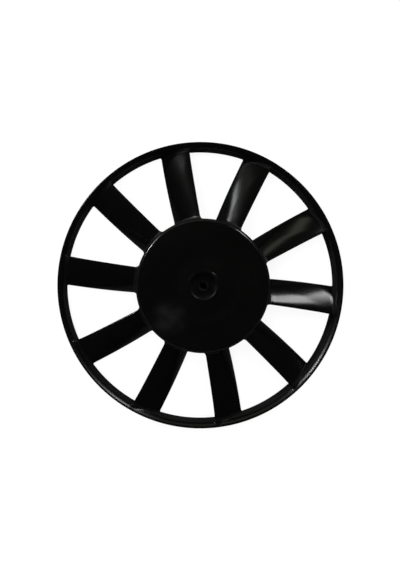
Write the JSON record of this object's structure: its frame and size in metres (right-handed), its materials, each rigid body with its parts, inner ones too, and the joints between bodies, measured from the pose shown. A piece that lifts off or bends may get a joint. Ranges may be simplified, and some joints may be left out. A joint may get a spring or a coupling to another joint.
{
  "type": "radiator fan wheel",
  "caption": "One-piece moulded axial fan wheel: twisted blades between a closed cup hub and an outer ring with a bell-mouth lip, on a keyed shaft bore.",
  "frame": {"origin": "on the shaft axis, in the plane of the hub cup's rear rim, which the wheel lies on", "axes": "+Z along the shaft axis out of the closed front face, +X through the root of the first blade"},
  "size_m": [0.28, 0.28, 0.0406],
  "materials": {
    "moulding": "black, semi-gloss as moulded"
  },
  "bodies": {
    "root": {"fan_wheel": "moulding"}
  },
  "joints": []
}
